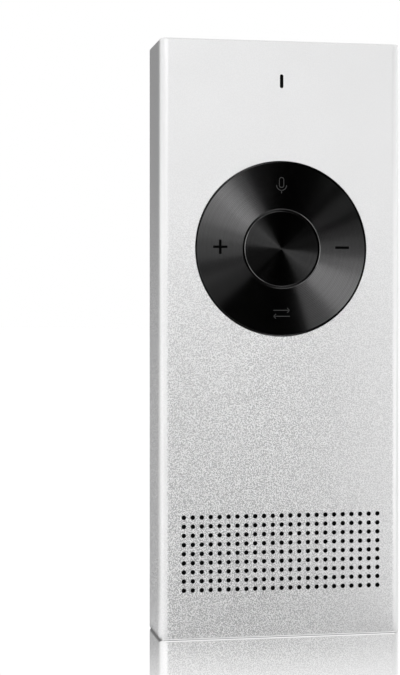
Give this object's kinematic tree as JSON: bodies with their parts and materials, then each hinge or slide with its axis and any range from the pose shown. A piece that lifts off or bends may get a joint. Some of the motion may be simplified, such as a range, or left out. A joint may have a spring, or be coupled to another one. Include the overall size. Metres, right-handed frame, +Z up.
{
  "type": "handheld translator",
  "caption": "Slim upright aluminium slab with a black rocking ring and centre button, a pin-hole speaker grille and a microphone slot.",
  "frame": {"origin": "middle of the lower end, in the plane that the object stands on", "axes": "+Z up the length, -Y out of the front face with the ring and the grille, +X to the right seen from the front"},
  "size_m": [0.0456, 0.0136, 0.11],
  "materials": {
    "satin_aluminium": "fine sandblasted, clear anodised silver",
    "black_spun_metal": "black, turned with fine concentric grooves, bright cut rim",
    "window_plastic": "dark violet grey, fine sparkling grain",
    "dark_plastic": "fine moulded texture",
    "chassis_plastic": "glass filled, dull",
    "bright_steel": "pressed, plain",
    "board_laminate": "green solder mask",
    "chip_black": "moulded epoxy",
    "cell_foil": "laminated pouch foil",
    "copper_film": "etched copper on film",
    "black_rubber": "moulded silicone",
    "dark_foam": "closed-cell foam",
    "black_mesh_cloth": "fine acoustic mesh",
    "cone_film": "pressed film",
    "white_plastic": "moulded nylon",
    "lead_red": "silicone insulation",
    "amber_film": "polyimide film"
  },
  "bodies": {
    "housing": {"housing_sleeve": "satin_aluminium", "antenna_window": "window_plastic", "top_cap": "dark_plastic", "bottom_cap": "dark_plastic", "cap_screw_left": "bright_steel", "cap_screw_right": "bright_steel", "chassis": "chassis_plastic", "antenna_carrier": "chassis_plastic", "antenna_flex": "copper_film", "key_frame": "bright_steel", "dome_centre": "bright_steel", "dome_left": "bright_steel", "dome_right": "bright_steel", "dome_upper": "bright_steel", "dome_lower": "bright_steel", "main_board": "board_laminate", "board_screw_lower_left": "bright_steel", "board_screw_lower_right": "bright_steel", "board_screw_upper_left": "bright_steel", "board_screw_upper_right": "bright_steel", "shield_can": "bright_steel", "processor_chip": "chip_black", "memory_chip": "chip_black", "radio_chip": "chip_black", "power_chip": "chip_black", "mic_module": "bright_steel", "mic_boot": "black_rubber", "mic_mesh": "black_mesh_cloth", "battery_cell": "cell_foil", "battery_pad": "dark_foam", "battery_plug": "white_plastic", "lead_positive": "lead_red", "lead_negative": "dark_plastic", "speaker_frame": "dark_plastic", "speaker_cone": "cone_film", "speaker_magnet": "bright_steel", "speaker_gasket": "dark_foam", "grille_mesh": "black_mesh_cloth", "socket_shell": "bright_steel", "socket_tongue": "chip_black", "socket_board": "board_laminate", "flex_cable": "amber_film"},
    "gimbal": {"ring_gimbal": "bright_steel"},
    "ring": {"control_ring": "black_spun_metal"},
    "button": {"centre_button": "black_spun_metal"}
  },
  "joints": [
    {"name": "ring_rock_sideways", "type": "hinge", "parent": "housing", "child": "gimbal", "pos_m": [0, -0.00395, 0.0716], "axis": [0, 0, 1], "range_deg": [-1, 1], "stiffness_Nm_per_rad": 0.05},
    {"name": "ring_rock_endways", "type": "hinge", "parent": "gimbal", "child": "ring", "pos_m": [0, -0.00395, 0.0716], "axis": [1, 0, 0], "range_deg": [-1, 1], "stiffness_Nm_per_rad": 0.05},
    {"name": "button_press", "type": "slide", "parent": "housing", "child": "button", "axis": [0, 1, 0], "range_m": [0, 0.0003], "stiffness_N_per_m": 300}
  ]
}
